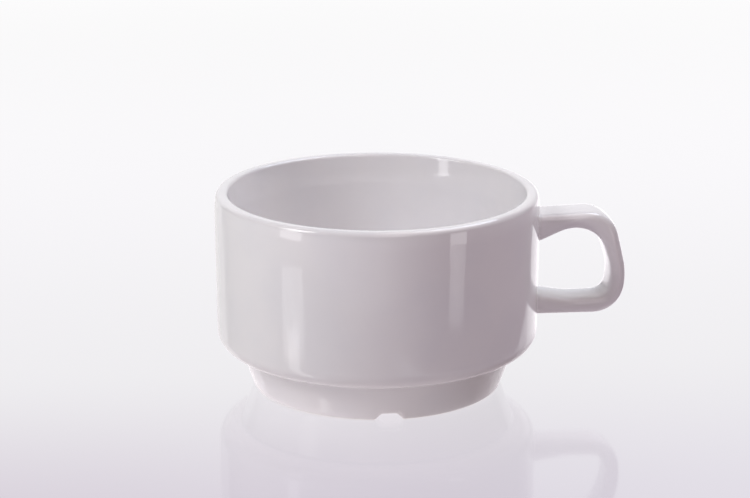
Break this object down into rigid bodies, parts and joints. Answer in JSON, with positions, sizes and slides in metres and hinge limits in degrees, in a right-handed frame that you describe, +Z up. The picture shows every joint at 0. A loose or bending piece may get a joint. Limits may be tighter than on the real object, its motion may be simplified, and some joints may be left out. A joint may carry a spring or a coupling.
{
  "type": "breakfast cup",
  "caption": "Stackable porcelain breakfast cup with a straight wall, a stepped foot that nests in the cup below, and a flat strap handle.",
  "frame": {"origin": "middle of the cup's whole length and width, on the table that it stands on; the bowl's axis lies at x = -13 mm", "axes": "+X along the cup's length towards the handle, +Z up out of the mouth"},
  "size_m": [0.121, 0.095, 0.0582],
  "materials": {
    "body_glaze": "clear gloss glaze on white porcelain",
    "handle_glaze": "clear gloss glaze on white porcelain",
    "slip_glaze": "glazed bead of joining slip"
  },
  "bodies": {
    "root": {"cup_body": "body_glaze", "handle": "handle_glaze", "upper_slip_joint": "slip_glaze", "lower_slip_joint": "slip_glaze"}
  },
  "joints": []
}
